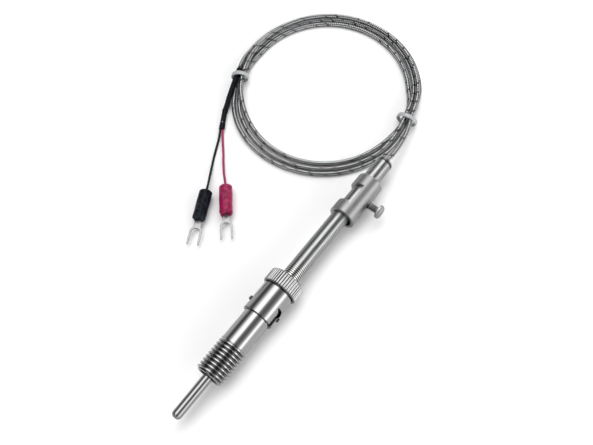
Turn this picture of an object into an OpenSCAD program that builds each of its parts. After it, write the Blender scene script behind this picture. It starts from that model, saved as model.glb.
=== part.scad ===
// Bayonet thermocouple with a threaded adapter, an armoured stem and a coiled braided cable.
// Millimetres. The probe lies along Y with its tip towards -Y; the threaded end face is at y = 0.

/* [Probe] */
// Diameter of the probe sheath
probe_d = 4.8; // [4.6:0.1:4.9]
// How far the probe stands out of the adapter thread
probe_out = 21.6; // [15:0.1:30]
// Wall of the sheath
sheath_wall = 0.4; // [0.3:0.05:0.5]

/* [Adapter] */
// Outside diameter of the adapter thread
thread_d = 14; // [13.8:0.1:14]
// Pitch of the adapter thread
thread_pitch = 1.8; // [1.75:0.05:1.8]
// Length of the threaded stretch
thread_len = 17.3; // [17:0.1:17.5]
// Diameter of the plain barrel behind the thread
barrel_d = 13.2; // [13.1:0.05:13.2]
// Bore through the adapter
adapter_bore_d = 10.2; // [10:0.1:10.4]
// Diameter of the two bayonet pins
pin_d = 2.2; // [2:0.1:2.2]
// Half turn angle of the bayonet, from pocket to entry slot
lock_deg = 34; // [32:1:36]
// How far the adapter is pushed in while it turns
lock_push = 2; // [1.8:0.1:2.2]

/* [Cap] */
// Where the rim of the bayonet sleeve is
cap_y = 33.7; // [33.5:0.1:34]
// Outside diameter of the bayonet sleeve
sleeve_d = 15.7; // [15.6:0.1:15.8]
// Length of the bayonet sleeve
sleeve_len = 15.7; // [15.6:0.1:15.8]
// Outside diameter of the knurled collar
collar_d = 18.2; // [17.8:0.1:18.2]
// Width of the knurled collar
collar_len = 7.5; // [7.4:0.1:7.6]
// Number of knurl ridges
knurl_count = 42; // [36:1:48]

/* [Armour] */
// Outside diameter of the armour spring
armour_d = 9; // [8.9:0.05:9]
// Diameter of the wire that the armour is wound from
armour_wire = 1; // [0.9:0.05:1]

/* [Clamp] */
// Where the clamp tube begins
clamp_y = 99.5; // [98:0.5:101]
// Length of the clamp tube
clamp_len = 25.5; // [24.5:0.5:26]
// Outside diameter of the clamp tube
clamp_d = 13.9; // [13.6:0.1:14]
// Bore of the clamp tube
clamp_bore_d = 10.8; // [10.7:0.05:10.9]
// Diameter of the clamp screw
screw_d = 4; // [3.9:0.1:4]
// Height of the screw's head over the probe axis
screw_reach = 13; // [12.5:0.1:13.5]

/* [Cable] */
// Diameter of the braided cable
cable_d = 2.6; // [2.4:0.1:2.8]
// Mean radius of the cable coil
coil_r = 52.6; // [51:0.2:54]
// How much longer than round the coil is
coil_oval = 2.6; // [0:0.2:3]
// Width of the coil's bundle
coil_w = 10; // [9:0.5:11]
// Height of the coil's bundle
coil_h = 6; // [5.6:0.1:6.4]

/* [Terminals] */
// Diameter of the terminal sleeves
term_d = 7; // [6.8:0.1:7]
// Length of the terminal sleeves
term_len = 17; // [16:0.5:18]
// Gap between the prongs of a fork
fork_gap = 4.3; // [4.2:0.1:4.5]
// Width across the prongs of a fork
fork_w = 6.4; // [6.2:0.1:6.8]

/* [Hidden] */
$fn = 64;
run_gap = 0.05;

steel = [0.78, 0.79, 0.80];
dark_steel = [0.55, 0.56, 0.58];
brass = [0.80, 0.66, 0.36];
braid = [0.52, 0.53, 0.55];
ink = [0.10, 0.13, 0.17];
magenta = [0.74, 0.12, 0.36];
nylon = [0.84, 0.85, 0.86];
tin = [0.86, 0.87, 0.88];
white_ceramic = [0.93, 0.92, 0.88];

// Places along the probe, front to back.
tip_y = -probe_out;
junction_y = tip_y + 2.2;
seal_y = 27;
ferrule_y = 24;
armour_y = 34;
armour_end = 139;
stem_end = 140.5;
barrel_end = 41.4;
pin_y = 39.1;
pin_deg = -17.5;
collar_y = cap_y + sleeve_len + 0.3;
collar_end = collar_y + collar_len;
bush_y = collar_y + 1.3;
bush_end = collar_end - 1;
screw_y = clamp_y + 14.1;
floor_z = -collar_d / 2;

// Radii that several pieces share.
sheath_r = probe_d / 2;
flare_r = sheath_r + 0.2;
flare_y = 22.5;
core_r = sheath_r - sheath_wall;
armour_r = armour_d / 2;
armour_bore_r = armour_r - armour_wire;
barrel_r = barrel_d / 2;
sleeve_bore_r = barrel_r + 0.08;
neck_r = 7.3;
end_wall = 1;
bush_r = 6;
pin_r = pin_d / 2;
slot_r = pin_r + 0.15;
slot_past_deg = 18;
wire_r = 0.3;
wire_x = 0.8;
clamp_x = (clamp_bore_d - armour_d) / 2 - run_gap;
pad_r = 1.6;
pad_top = 5.7;
cable_r = cable_d / 2;
tie_r = 5.2;
tie_bore_r = 4.2;
tie_w = 2.6;
lead_r = 0.65;

// The coil lies flat beside the stem: centre, long direction and the two tied places.
coil_x = -57;
coil_y = 167;
oval_deg = 109;
tie_right_deg = 10.7;
tie_left_deg = 207.9;

// The free stretch of cable from the stem to the coil.
lead_route = [[0, 140.5, 0], [0.4, 146, -0.2], [0.2, 152, -0.8], [-0.6, 158, -1.6], [-1.8, 164, -2.4],
              [-3, 168, -3], [-3.8, 170.5, -3.6]];
// The two conductors from the breakout to their terminals.
black_route = [[-86.6, 108, -7.5], [-85, 105.3, -8], [-83.3, 102.4, -8.35], [-81.7, 99.4, -8.42],
               [-80.1, 96.4, -8.42], [-78.5, 93.4, -8.42], [-76.8, 90.4, -8.4], [-75, 87.5, -8.2],
               [-73.2, 84.6, -7.8], [-71.2, 81.5, -7.1], [-69.1, 78.4, -6.4], [-67.2, 75.4, -5.9],
               [-65.5, 72.3, -5.6], [-64.1, 69.65, -5.6]];
red_route = [[-85.5, 108.7, -7.5], [-83.6, 106.3, -8], [-81.5, 103.9, -8.35], [-79.3, 101.5, -8.42],
             [-77.1, 99.1, -8.42], [-74.9, 96.7, -8.42], [-72.8, 94.2, -8.4], [-70.6, 91.8, -8.2],
             [-68.4, 89.4, -7.8], [-66.2, 87.1, -7.2], [-63.85, 85, -6.3], [-61.7, 83, -5.75],
             [-59.6, 81.05, -5.6], [-57.6, 78.8, -5.6]];
black_at = [-65.5, 72.3, -5.6];
black_deg = -62;
red_at = [-59.6, 81.05, -5.6];
red_deg = -49;
// The cable's end under its shrink sleeve.
tail_from = [-103.6, 144.6, -3.9];
tail_to = [-92.6, 118.6, -7.6];
boot_to = [-86.2, 108.5, -7.7];

// A round solid turned about the Y axis from a profile of [radius, y] points.
module turned(profile) {
    rotate([-90, 0, 0]) rotate_extrude() polygon(profile);
}

// A rod or a bore along Y.
module rod(r, y0, y1) {
    translate([0, y0, 0]) rotate([-90, 0, 0]) cylinder(r = r, h = y1 - y0);
}

// A tube along Y with small chamfers on its outer edges.
module tube(r, bore, y0, y1, chamfer = 0.2) {
    turned([[bore, y0], [r - chamfer, y0], [r, y0 + chamfer], [r, y1 - chamfer], [r - chamfer, y1],
            [bore, y1]]);
}

// A rod that stands out from the Y axis at an angle in the XZ plane.
module radial_rod(r, y, deg, inner, outer) {
    translate([0, y, 0]) rotate([0, -deg, 0]) translate([inner, 0, 0]) rotate([0, 90, 0])
        cylinder(r = r, h = outer - inner);
}

// A rod between two points.
module strut(a, b, r0, r1) {
    d = b - a;
    turn = [0, acos(d[2] / norm(d)), atan2(d[1], d[0])];
    translate(a) rotate(turn) cylinder(r1 = r0, r2 = r1, h = norm(d));
}

// A sweep of a round section along a list of points.
function heading(p, i) = let (a = p[max(i - 1, 0)], b = p[min(i + 1, len(p) - 1)]) (b - a) / norm(b - a);
function side_of(t) = let (s = cross(t, [0, 0, 1])) norm(s) < 0.05 ? [1, 0, 0] : s / norm(s);
function ring_at(p, i, r, sides) = let (t = heading(p, i), u = side_of(t), v = cross(u, t))
    [for (k = [0 : sides - 1]) p[i] + r * (cos(360 * k / sides) * u + sin(360 * k / sides) * v)];

module swept(p, r, sides = 8) {
    n = len(p);
    last = (n - 1) * sides;
    points = [for (i = [0 : n - 1]) each ring_at(p, i, r, sides)];
    walls = [for (i = [0 : n - 2], k = [0 : sides - 1])
        let (a = i * sides + k, b = i * sides + (k + 1) % sides) [a, b, b + sides, a + sides]];
    front = [[for (k = [sides - 1 : -1 : 0]) k]];
    back = [[for (k = [0 : sides - 1]) last + k]];
    polyhedron(points, concat(walls, front, back), convexity = 6);
}

module probe_sheath() {
    nose = sheath_r - 0.3;
    color(steel) turned(concat(
        [[0, tip_y]],
        [for (a = [-75 : 15 : 0]) [0.3 + nose * cos(a), tip_y + nose + nose * sin(a)]],
        [[sheath_r, flare_y], [flare_r, flare_y + 0.3], [flare_r, 30], [core_r, 30], [core_r, tip_y + 1.2],
         [0, tip_y + 0.6]]));
}

module wire_holes(y0, y1) {
    for (side = [-1, 1]) translate([side * wire_x, 0, 0]) rod(wire_r, y0, y1);
}

module insulator() {
    color(white_ceramic) difference() {
        rod(core_r - 0.05, junction_y + 0.6, seal_y);
        wire_holes(junction_y, seal_y + 1);
    }
}

module thermo_wire(side) {
    translate([side * wire_x, 0, 0]) rod(wire_r, junction_y + 0.6, 31.5);
}

module positive_wire() {
    color("gold") thermo_wire(1);
}

module negative_wire() {
    color(dark_steel) thermo_wire(-1);
}

module hot_junction() {
    bead_r = 1.3;
    mid_y = junction_y + 0.5;
    low = asin(-1.05 / bead_r);
    high = asin(0.1 / bead_r);
    steps = 8;
    color(dark_steel) turned(concat(
        [[0, mid_y - 1.05]],
        [for (i = [0 : steps]) let (a = low + (high - low) * i / steps)
            [bead_r * cos(a), mid_y + bead_r * sin(a)]],
        [[0, mid_y + 0.1]]));
}

module sheath_seal() {
    color(ink) difference() {
        rod(core_r, seal_y, 30);
        wire_holes(seal_y - 1, 31);
    }
}

module front_ferrule() {
    spigot_r = armour_bore_r - 0.02;
    color(steel) turned([
        [flare_r, ferrule_y], [4.4, ferrule_y], [4.8, ferrule_y + 0.4], [4.8, armour_y],
        [spigot_r, armour_y], [spigot_r, 40], [cable_r + 0.05, 40], [cable_r + 0.05, 31.5],
        [flare_r, 31.5]]);
}

module armour_spring() {
    turns = floor((armour_end - armour_y) / armour_wire);
    end_y = armour_y + turns * armour_wire;
    groove = 0.32;
    color(steel) turned(concat(
        [[armour_bore_r, armour_y]],
        [for (i = [0 : turns - 1]) each [
            [armour_r - groove, armour_y + i * armour_wire],
            [armour_r, armour_y + (i + 0.3) * armour_wire],
            [armour_r, armour_y + (i + 0.7) * armour_wire]]],
        [[armour_r - groove, end_y], [armour_bore_r, end_y]]));
}

module inner_cable() {
    color(braid) rod(cable_r, 31.5, stem_end);
}

module rear_ferrule() {
    lip = 1.2;
    rim = armour_r - 0.1;
    color(steel) turned(concat(
        [[cable_r, 131], [armour_bore_r - 0.02, 131], [armour_bore_r - 0.02, armour_end], [rim, armour_end]],
        [for (a = [0 : 15 : 90]) [rim - lip + lip * cos(a), stem_end - lip + lip * sin(a)]],
        [[cable_r, stem_end]]));
}

module guide_bush() {
    color(brass) tube(bush_r - run_gap, armour_r + run_gap, bush_y + run_gap, bush_end - run_gap);
}

// The path that a bayonet pin needs: a pocket, a sloping run and the entry from the rim. The run goes on
// a little past the entry and narrows there.
module bayonet_slot(deg) {
    steps = 10;
    for (i = [0 : steps])
        radial_rod(slot_r, pin_y + lock_push * i / steps, deg + lock_deg * i / steps, 5, 10);
    for (i = [1 : steps]) let (r = slot_r * (1 - 0.55 * i / steps))
        radial_rod(r, pin_y + lock_push + slot_r - r, deg + lock_deg + slot_past_deg * i / steps, 5, 10);
    rotate([0, -deg - lock_deg, 0])
        translate([5, cap_y - 1, -slot_r]) cube([5, pin_y + lock_push - cap_y + 1, 2 * slot_r]);
}

module bayonet_sleeve() {
    r = sleeve_d / 2;
    end_y = cap_y + sleeve_len;
    wall_y = end_y - end_wall;
    hole_r = 5.3;
    color(steel) difference() {
        turned([
            [sleeve_bore_r, cap_y], [r - 0.3, cap_y], [r, cap_y + 0.3], [r, end_y - 0.3], [r - 0.3, end_y],
            [neck_r, end_y], [neck_r, bush_y], [hole_r, bush_y], [hole_r, wall_y], [sleeve_bore_r, wall_y]]);
        for (side = [0, 180]) bayonet_slot(pin_deg + side);
    }
}

module knurled_collar() {
    r = collar_d / 2;
    depth = 0.3;
    bevel = 0.6;
    outline = [for (i = [0 : knurl_count - 1]) each [
        r * [cos(360 * (i - 0.25) / knurl_count), sin(360 * (i - 0.25) / knurl_count)],
        r * [cos(360 * (i + 0.25) / knurl_count), sin(360 * (i + 0.25) / knurl_count)],
        (r - depth) * [cos(360 * (i + 0.5) / knurl_count), sin(360 * (i + 0.5) / knurl_count)]]];
    color(steel) difference() {
        intersection() {
            translate([0, collar_y, 0]) rotate([-90, 0, 0]) linear_extrude(collar_len) polygon(outline);
            turned([
                [0, collar_y], [r - bevel, collar_y], [r + 0.1, collar_y + bevel + 0.1],
                [r + 0.1, collar_end - bevel - 0.1], [r - bevel, collar_end], [0, collar_end]]);
        }
        rod(neck_r, collar_y - 1, bush_y);
        rod(bush_r, bush_y - 1, bush_end);
        rod(5.2, bush_end - 1, collar_end + 1);
    }
}

module lock_spring() {
    wire = 0.9;
    mean_r = 5.75;
    turns = 3.5;
    per_turn = 18;
    y0 = barrel_end + 1.4 + wire / 2 + run_gap;
    y1 = cap_y + sleeve_len - end_wall - wire / 2 - run_gap;
    color(steel) swept([for (i = [0 : turns * per_turn]) let (a = 360 * i / per_turn)
        [mean_r * cos(a), y0 + (y1 - y0) * i / (turns * per_turn), mean_r * sin(a)]], wire / 2);
}

module thrust_ring() {
    color(dark_steel) tube(sleeve_bore_r - 0.1, adapter_bore_d / 2, barrel_end, barrel_end + 1.4);
}

// The thread is a row of ridges at its true pitch and depth.
module adapter() {
    r = thread_d / 2;
    root = r - 0.6134 * thread_pitch;
    crest = thread_pitch / 16;
    last = floor(thread_len / thread_pitch);
    half = 0.43 * thread_pitch;
    start = 0.27;
    last_y = start + last * thread_pitch;
    bore = adapter_bore_d / 2;
    color(steel) difference() {
        turned(concat(
            [[bore + 0.3, 0], [r - 0.15, 0], [r, start - crest], [r, start + crest], [root, start + half]],
            [for (i = [1 : last - 1]) let (y = start + i * thread_pitch) each [
                [root, y - half], [r, y - crest], [r, y + crest], [root, y + half]]],
            [[root, last_y - half], [r, last_y - crest], [r, last_y + crest], [barrel_r, thread_len],
             [barrel_r, barrel_end - 0.4], [barrel_r - 0.4, barrel_end], [bore, barrel_end], [bore, 0.3]]));
        for (side = [0, 180]) radial_rod(pin_r, pin_y, pin_deg + side, bore - 1, barrel_r + 1);
    }
}

module bayonet_pins() {
    color(steel) for (side = [0, 180])
        radial_rod(pin_r, pin_y, pin_deg + side, adapter_bore_d / 2 + 0.1, sleeve_d / 2 + 0.85);
}

// A tube with a window milled into its far side and a threaded hole for the screw.
module clamp_body() {
    window_y = clamp_y + 6.8;
    window_len = 11.7;
    cut_x = 0.2;
    color(steel) translate([clamp_x, 0, 0]) difference() {
        tube(clamp_d / 2, clamp_bore_d / 2, clamp_y, clamp_y + clamp_len);
        translate([cut_x - 10, window_y, -10]) cube([10, window_len, 20]);
        radial_rod(screw_d / 2, screw_y, 0, 0, 10);
    }
}

module clamp_pad() {
    color(brass) difference() {
        radial_rod(pad_r, screw_y, 0, armour_r - 0.5, pad_top);
        rod(armour_r + run_gap, screw_y - 5, screw_y + 5);
    }
}

module clamp_screw() {
    head_r = 3.6;
    head_h = 2.5;
    slot_w = 1.1;
    low = pad_top + run_gap;
    shank_r = screw_d / 2 - run_gap;
    profile = [[0, low], [shank_r - 0.3, low], [shank_r, low + 0.3], [shank_r, screw_reach],
               [head_r - 0.2, screw_reach], [head_r, screw_reach + 0.2], [head_r, screw_reach + 1.3],
               [head_r - 0.35, screw_reach + 2], [head_r - 1.1, screw_reach + head_h],
               [0, screw_reach + head_h]];
    color(dark_steel) translate([0, screw_y, 0]) rotate([0, 90, 0]) difference() {
        rotate_extrude() polygon(profile);
        rotate([0, 0, 15]) translate([-slot_w / 2, -5, screw_reach + 1.4]) cube([slot_w, 10, 3]);
    }
}

module cable_lead() {
    color(braid) swept(lead_route, cable_r);
}

function coil_reach(a) = coil_r + coil_oval * cos(2 * (a - oval_deg));

// Puts a ring around the bundle at an angle, with its axis along the cable.
module at_tie(deg) {
    reach = coil_reach(deg);
    translate([coil_x + reach * cos(deg), coil_y + reach * sin(deg), floor_z + tie_r]) rotate([0, 0, deg])
        rotate([90, 0, 0]) children();
}

module coil_outline(inset) {
    outline = [for (a = [0 : 5 : 355]) [cos(a), sin(a)] * (coil_reach(a) + inset)];
    translate([coil_x, coil_y]) polygon(outline);
}

module cable_coil() {
    bevel = 1.2;
    slab = tie_w + 0.4;
    color(braid) difference() {
        translate([0, 0, floor_z]) for (layer = [[0, bevel, bevel], [bevel, coil_h - 2 * bevel, 0],
                                                 [coil_h - bevel, bevel, bevel]])
            translate([0, 0, layer[0]]) linear_extrude(layer[1]) difference() {
                coil_outline(coil_w / 2 - layer[2]);
                coil_outline(layer[2] - coil_w / 2);
            }
        for (deg = [tie_left_deg, tie_right_deg]) at_tie(deg) difference() {
            cube([20, 20, slab], center = true);
            cylinder(r = tie_bore_r - 0.05, h = slab + 1, center = true);
        }
    }
}

module tie(deg) {
    color(nylon) at_tie(deg) difference() {
        cylinder(r = tie_r, h = tie_w, center = true);
        cylinder(r = tie_bore_r, h = tie_w + 1, center = true);
    }
}

module tie_left() {
    tie(tie_left_deg);
}

module tie_right() {
    tie(tie_right_deg);
}

module cable_tail() {
    color(braid) strut(tail_from, tail_to, cable_r, cable_r);
}

module shrink_sleeve() {
    color(ink) difference() {
        strut(tail_from, tail_to, 1.5, 1.5);
        strut(tail_from, tail_to, cable_r, cable_r);
    }
}

module breakout_boot() {
    color(ink) strut(tail_to, boot_to, 1.4, 1.25);
}

module black_lead() {
    color(ink) swept(black_route, lead_r);
}

module red_lead() {
    color(magenta) swept(red_route, lead_r);
}

// A terminal lies along its own X axis, with the conductor coming in at x = 0.
barrel_bore_x = 6.5;
barrel_out_r = 2.1;

module terminal_sleeve() {
    rotate([0, 90, 0]) difference() {
        rotate_extrude() polygon([
            [0, 0], [term_d / 2 - 0.6, 0], [term_d / 2, 0.6], [term_d / 2, term_len], [0, term_len]]);
        translate([0, 0, -1]) cylinder(r = lead_r + 0.1, h = barrel_bore_x + 2);
        translate([0, 0, barrel_bore_x]) cylinder(r = barrel_out_r, h = term_len);
    }
}

module terminal_fork() {
    plate = 0.8;
    slot_x = term_len + 4.2 + fork_gap / 2;
    prong_end = term_len + 13.6;
    difference() {
        union() {
            translate([barrel_bore_x + 0.5, 0, 0]) rotate([0, 90, 0])
                cylinder(r = barrel_out_r - 0.02, h = term_len - barrel_bore_x - 1);
            translate([0, 0, -1.3]) linear_extrude(plate) difference() {
                union() {
                    translate([slot_x, 0]) circle(d = fork_w);
                    translate([slot_x, -fork_w / 2]) square([prong_end - slot_x, fork_w]);
                    translate([term_len - 2, -1.5]) square([6, 3]);
                }
                translate([slot_x, 0]) circle(d = fork_gap);
                translate([slot_x, -fork_gap / 2]) square([20, fork_gap]);
            }
        }
        translate([barrel_bore_x - 1, 0, 0]) rotate([0, 90, 0]) cylinder(r = 1, h = 7);
    }
}

module black_sleeve() {
    color(ink) translate(black_at) rotate([0, 0, black_deg]) terminal_sleeve();
}

module red_sleeve() {
    color(magenta) translate(red_at) rotate([0, 0, red_deg]) terminal_sleeve();
}

module black_fork() {
    color(tin) translate(black_at) rotate([0, 0, black_deg]) terminal_fork();
}

module red_fork() {
    color(tin) translate(red_at) rotate([0, 0, red_deg]) terminal_fork();
}

probe_sheath();
insulator();
positive_wire();
negative_wire();
hot_junction();
sheath_seal();
front_ferrule();
armour_spring();
inner_cable();
rear_ferrule();
guide_bush();
bayonet_sleeve();
knurled_collar();
lock_spring();
thrust_ring();
adapter();
bayonet_pins();
clamp_body();
clamp_pad();
clamp_screw();
cable_lead();
cable_coil();
tie_left();
tie_right();
cable_tail();
shrink_sleeve();
breakout_boot();
black_lead();
red_lead();
black_sleeve();
red_sleeve();
black_fork();
red_fork();
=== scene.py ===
"""Bayonet thermocouple with a coiled braided cable: its looks, in the CAD frame.

Shapes are worked out in millimetres in the part's own frame, the CAD's, and written as metres.
"""
import math

import bmesh
import bpy
import numpy as np
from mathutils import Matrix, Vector


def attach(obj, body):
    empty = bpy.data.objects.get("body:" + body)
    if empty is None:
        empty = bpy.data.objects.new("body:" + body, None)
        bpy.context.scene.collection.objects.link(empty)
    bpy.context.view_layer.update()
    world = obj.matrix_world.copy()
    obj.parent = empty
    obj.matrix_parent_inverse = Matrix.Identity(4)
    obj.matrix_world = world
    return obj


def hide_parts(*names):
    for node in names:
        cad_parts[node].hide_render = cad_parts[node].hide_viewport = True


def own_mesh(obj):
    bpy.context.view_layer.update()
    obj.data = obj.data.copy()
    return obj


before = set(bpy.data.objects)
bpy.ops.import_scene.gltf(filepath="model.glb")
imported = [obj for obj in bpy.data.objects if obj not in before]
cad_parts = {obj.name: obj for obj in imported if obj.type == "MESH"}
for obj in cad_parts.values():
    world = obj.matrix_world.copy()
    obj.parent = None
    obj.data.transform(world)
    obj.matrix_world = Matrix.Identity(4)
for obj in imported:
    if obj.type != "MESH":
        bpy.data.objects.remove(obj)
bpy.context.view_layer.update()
scene = bpy.context.scene
MM = 0.001
TAU = 2 * math.pi
FLOOR_Z = -9.1


# ---------------------------------------------------------------- camera
SENSOR_MM, LENS_MM = 36.0, 36.42
CAMERA_AT = (68.83, -27.06, 261.95)
CAMERA_LOOK = (-0.2838, 0.3740, -0.8829)


def make_camera():
    data = bpy.data.cameras.new("camera")
    data.sensor_width = SENSOR_MM
    data.lens = LENS_MM
    data.clip_start = 5 * MM
    camera = bpy.data.objects.new("camera", data)
    scene.collection.objects.link(camera)
    camera.location = Vector(CAMERA_AT) * MM
    camera.rotation_euler = Vector(CAMERA_LOOK).to_track_quat("-Z", "Y").to_euler()
    scene.camera = camera


make_camera()


# ---------------------------------------------------------------- materials
def grey(value, tint=0.0):
    return (value * (1 - tint), value, value * (1 + tint))


def add_node(tree, kind, **values):
    node = tree.nodes.new(kind)
    for key, value in values.items():
        setattr(node, key, value)
    return node


def add_ramp(tree, factor, stops):
    """A colour ramp over stops of place and colour."""
    node = add_node(tree, "ShaderNodeValToRGB")
    elements = node.color_ramp.elements
    while len(elements) < len(stops):
        elements.new(0.5)
    for element, (place, color) in zip(elements, stops):
        element.position = place
        element.color = (*color, 1.0)
    tree.links.new(factor, node.inputs["Fac"])
    return node.outputs["Color"]


class Shader:
    """A material with short ways to add nodes and join them."""

    def __init__(self, name, color, rough, metallic=0.0):
        self.material = bpy.data.materials.new(name)
        self.material.use_nodes = True
        self.tree = self.material.node_tree
        self.bsdf = self.tree.nodes["Principled BSDF"]
        self.put("Base Color", (*color, 1.0))
        self.put("Roughness", rough)
        self.put("Metallic", metallic)

    def put(self, socket, value):
        self.bsdf.inputs[socket].default_value = value

    def add(self, kind, **values):
        return add_node(self.tree, kind, **values)

    def join(self, source, target):
        self.tree.links.new(source, target)

    def math(self, operation, first, second=None):
        node = self.add("ShaderNodeMath", operation=operation)
        for socket, value in zip(node.inputs, (first, second)):
            if value is None:
                continue
            if isinstance(value, (int, float)):
                socket.default_value = value
            else:
                self.join(value, socket)
        return node.outputs[0]

    def place(self, scale=(1, 1, 1)):
        """Coordinates in millimetres in the part's frame, scaled."""
        coord = self.add("ShaderNodeTexCoord")
        mapping = self.add("ShaderNodeMapping")
        mapping.inputs["Scale"].default_value = [s / MM for s in scale]
        self.join(coord.outputs["Object"], mapping.inputs["Vector"])
        return mapping.outputs["Vector"]

    def noise(self, scale=(1, 1, 1), detail=3.0, rough=0.55):
        node = self.add("ShaderNodeTexNoise")
        node.inputs["Scale"].default_value = 1.0
        node.inputs["Detail"].default_value = detail
        node.inputs["Roughness"].default_value = rough
        self.join(self.place(scale), node.inputs["Vector"])
        return node.outputs["Fac"]

    def ramp(self, factor, stops):
        return add_ramp(self.tree, factor, stops)

    def spread(self, factor, low, high):
        """The factor's 0 to 1 as low to high."""
        node = self.add("ShaderNodeMapRange")
        node.inputs["To Min"].default_value = low
        node.inputs["To Max"].default_value = high
        self.join(factor, node.inputs["Value"])
        return node.outputs["Result"]

    def color_from(self, source):
        self.join(source, self.bsdf.inputs["Base Color"])

    def rough_from(self, source):
        self.join(source, self.bsdf.inputs["Roughness"])

    def bump(self, height, distance_mm, strength=1.0):
        node = self.add("ShaderNodeBump")
        node.inputs["Distance"].default_value = distance_mm * MM
        node.inputs["Strength"].default_value = strength
        self.join(height, node.inputs["Height"])
        if self.bsdf.inputs["Normal"].is_linked:
            self.join(self.bsdf.inputs["Normal"].links[0].from_socket, node.inputs["Normal"])
        self.join(node.outputs["Normal"], self.bsdf.inputs["Normal"])


def steel(name, level, rough, lines=(0.5, 26, 0.5), grain=0.0012, ends=0.85, low=0.05,
          turn=(0.72, 0.97), tint=None):
    """Worked steel: tool marks, duller patches, painted shade in its hollows, and end faces
    painted darker by their facing, as a painted dark reflection.

    Painted shade keeps the share low of the tone in hollows. End faces lose the share ends of it, and a
    negative share paints them lighter, as a painted highlight; a face starts to count as one, and
    counts in full, at the two Y parts of its normal in turn.
    """
    mat = Shader(name, grey(level), rough, 1.0)
    marks = mat.noise(lines, 2.0)
    patches = mat.noise((0.18, 0.12, 0.18), 4.0)
    mat.rough_from(mat.spread(mat.math("MULTIPLY", marks, patches), rough * 0.75, rough * 1.75))
    painted_shade = mat.add("ShaderNodeAttribute", attribute_name="painted_shade").outputs["Fac"]
    normal = mat.add("ShaderNodeSeparateXYZ")
    mat.join(mat.add("ShaderNodeTexCoord").outputs["Normal"], normal.inputs[0])
    facing = mat.add("ShaderNodeMapRange")
    facing.inputs["From Min"].default_value = turn[0]
    facing.inputs["From Max"].default_value = turn[1]
    facing.inputs["To Min"].default_value = 1.0
    facing.inputs["To Max"].default_value = 1.0 - ends
    mat.join(mat.math("ABSOLUTE", normal.outputs[1]), facing.inputs["Value"])
    # Painted shade from the painted_shade attribute, times the patches' own uneven tone.
    tone = mat.math("MULTIPLY", mat.spread(patches, 0.84, 0.98), mat.spread(painted_shade, 1.0, low))
    # Painted reflection: faces whose normal runs along Y are darkened, and lightened when ends is
    # negative.
    tone = mat.math("MULTIPLY", tone, facing.outputs["Result"])
    mat.color_from(mat.ramp(tone, [(0.0, grey(0.0)), (1.0, tint or grey(level * 1.1))]))
    mat.bump(marks, grain)
    return mat.material


def woven_metal(name):
    """Wire braid: each ribbon is a few fine wires, with painted shade in the holes between ribbons and
    between the fine wires, and one set of ribbons painted darker than the other as a painted
    reflection.
    """
    mat = Shader(name, grey(0.5), 0.32, 0.9)
    weave = mat.add("ShaderNodeAttribute", attribute_name="weave").outputs["Fac"]
    over = mat.add("ShaderNodeAttribute", attribute_name="over").outputs["Fac"]
    uv = mat.add("ShaderNodeSeparateXYZ")
    mat.join(mat.add("ShaderNodeUVMap", uv_map="braid").outputs[0], uv.inputs[0])
    wires_in_ribbon = 4
    wires = [mat.math("SINE", mat.math("MULTIPLY", uv.outputs[axis], wires_in_ribbon * TAU))
             for axis in (0, 1)]
    mix = mat.add("ShaderNodeMix", data_type="FLOAT")
    mat.join(over, mix.inputs[0])
    mat.join(wires[1], mix.inputs[2])
    mat.join(wires[0], mix.inputs[3])
    # Painted shade between the fine wires of a ribbon.
    fine = mat.spread(mix.outputs[0], 0.82, 1.08)
    tarnish = mat.noise((1.1, 1.1, 1.1), 3.0, 0.7)
    # Painted shade: the weave's height darkens the holes to black; tarnish is the braid's own uneven
    # tone.
    shade = mat.math("MULTIPLY", mat.math("MULTIPLY", weave, fine), mat.spread(tarnish, 0.45, 1.55))
    # Painted reflection: the set of ribbons on top is painted brighter and the other set darker.
    shade = mat.math("MULTIPLY", shade, mat.spread(over, 0.34, 1.15))
    mat.color_from(mat.ramp(shade, [(0.25, grey(0.003)), (0.5, grey(0.08, 0.04)),
                                    (0.82, grey(0.9, 0.01))]))
    mat.rough_from(mat.spread(tarnish, 0.26, 0.45))
    mat.bump(mix.outputs[0], 0.02, 0.6)
    return mat.material


def spun_cover(name, dark, mid, light, rough):
    """Glass-fibre cover laid on in a spiral, as on a thermocouple conductor, with painted shade in the
    spiral's grooves and painted light on its crowns.
    """
    mat = Shader(name, mid, rough)
    weave = mat.add("ShaderNodeAttribute", attribute_name="weave").outputs["Fac"]
    fibre = mat.noise((5, 5, 5), 4.0)
    # Painted shade and light from the rib height, times the fibre noise, which is the cover's own
    # uneven tone.
    shade = mat.math("MULTIPLY", weave, mat.spread(fibre, 0.2, 1.6))
    mat.color_from(mat.ramp(shade, [(0.2, dark), (0.55, mid), (0.95, light)]))
    mat.bump(fibre, 0.03)
    mat.put("Specular IOR Level", 0.06)
    return mat.material


def soft_plastic(name, dark, mid, light, rough, crease_lighting_and_wear=None, gloss=0.22):
    """Vinyl or shrink tube: slow cloudy colour, fine wrinkles, and a crease colour painted along
    creases as painted light (lighter on the black vinyl, darker on the red), and over wear at a torn
    end.
    """
    mat = Shader(name, mid, rough)
    cloud = mat.noise((0.45, 0.45, 0.45), 5.0, 0.6)
    fine = mat.noise((2.2, 2.2, 2.2), 4.0)
    color = mat.ramp(cloud, [(0.28, dark), (0.5, mid), (0.74, light)])
    if crease_lighting_and_wear:
        # Painted light along creases, and wear at the torn end, in the crease colour.
        mark = mat.add("ShaderNodeAttribute", attribute_name="crease_lighting_and_wear").outputs["Fac"]
        mix = mat.add("ShaderNodeMix", data_type="RGBA")
        mat.join(mat.math("MULTIPLY", mark, mat.spread(fine, 0.3, 1.1)), mix.inputs[0])
        mat.join(color, mix.inputs[6])
        mix.inputs[7].default_value = (*crease_lighting_and_wear, 1.0)
        color = mix.outputs[2]
    mat.color_from(color)
    mat.rough_from(mat.spread(fine, rough * 0.7, rough * 1.3))
    mat.bump(fine, 0.05)
    mat.put("Specular IOR Level", gloss)
    return mat.material


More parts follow.
